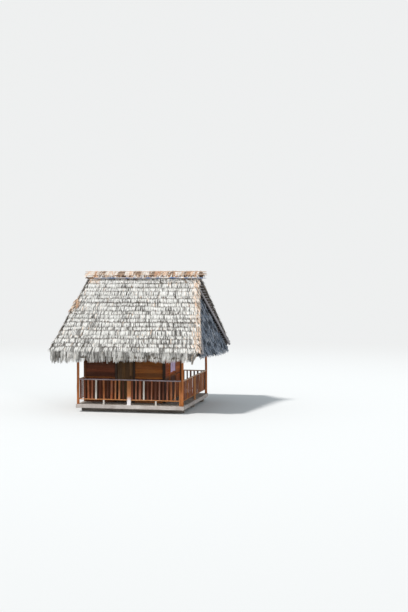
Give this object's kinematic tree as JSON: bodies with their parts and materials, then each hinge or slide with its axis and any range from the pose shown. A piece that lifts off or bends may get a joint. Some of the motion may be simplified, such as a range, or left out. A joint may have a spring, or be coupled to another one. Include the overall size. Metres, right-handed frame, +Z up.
{
  "type": "tree house",
  "caption": "Thatched timber cabin with a boarded room, a railed veranda and a steep palm-thatch roof with leaning thatched ends.",
  "frame": {"origin": "middle of the plan on the underside of the floor bearers, at the level floor that the house stands on", "axes": "+X to the right seen from the front, +Y to the rear, +Z up"},
  "size_m": [6.1046, 6.34, 5.5787],
  "materials": {
    "cap_mat": "woven palm-leaf mat, tan and orange brown",
    "cloth": "thin lavender cotton cloth",
    "dark_timber": "dark stained squared timber",
    "deck_timber": "bleached sawn timber, dusty",
    "end_thatch": "weathered palm thatch in shade, grey",
    "grey_pole": "weathered grey round pole",
    "tan_pole": "sun-bleached peeled pole, tan",
    "thatch": "weathered palm thatch in courses, pale grey straw",
    "varnished_board": "varnished orange-brown boards"
  },
  "bodies": {
    "house": {"cap_rods": "grey_pole", "cloth_peg": "grey_pole", "corner_posts": "tan_pole", "deck_floor": "deck_timber", "door_frame": "dark_timber", "eave_and_middle_beams": "grey_pole", "end_battens": "grey_pole", "end_beams": "grey_pole", "end_rafters": "grey_pole", "floor_bearers": "grey_pole", "floor_joists": "deck_timber", "front_and_rear_edge_beams": "deck_timber", "front_battens": "grey_pole", "front_left_wall": "varnished_board", "front_rafters": "grey_pole", "front_railing": "tan_pole", "front_right_wall": "varnished_board", "front_shutters": "varnished_board", "front_thatch": "thatch", "front_wall_over_door": "varnished_board", "front_wall_rails": "dark_timber", "hanging_cloth": "cloth", "king_posts": "grey_pole", "left_end_thatch": "end_thatch", "left_railings": "tan_pole", "left_wall": "varnished_board", "rail_posts": "tan_pole", "rear_battens": "grey_pole", "rear_rafters": "grey_pole", "rear_railings": "tan_pole", "rear_thatch": "thatch", "rear_wall": "varnished_board", "rear_wall_frame": "dark_timber", "ridge_cap": "cap_mat", "ridge_pole": "grey_pole", "ridge_rods": "tan_pole", "right_end_thatch": "end_thatch", "right_railing": "tan_pole", "right_wall": "varnished_board", "room_posts": "dark_timber", "side_edge_beams": "deck_timber", "side_shutters": "varnished_board", "side_wall_frames": "dark_timber", "tie_beams": "grey_pole"},
    "door": {"door": "dark_timber"}
  },
  "joints": [
    {"name": "door_hinge", "type": "hinge", "parent": "house", "child": "door", "pos_m": [-0.739, -1.3875, 0.305], "axis": [0, 0, 1], "range_deg": [0, 90]}
  ]
}
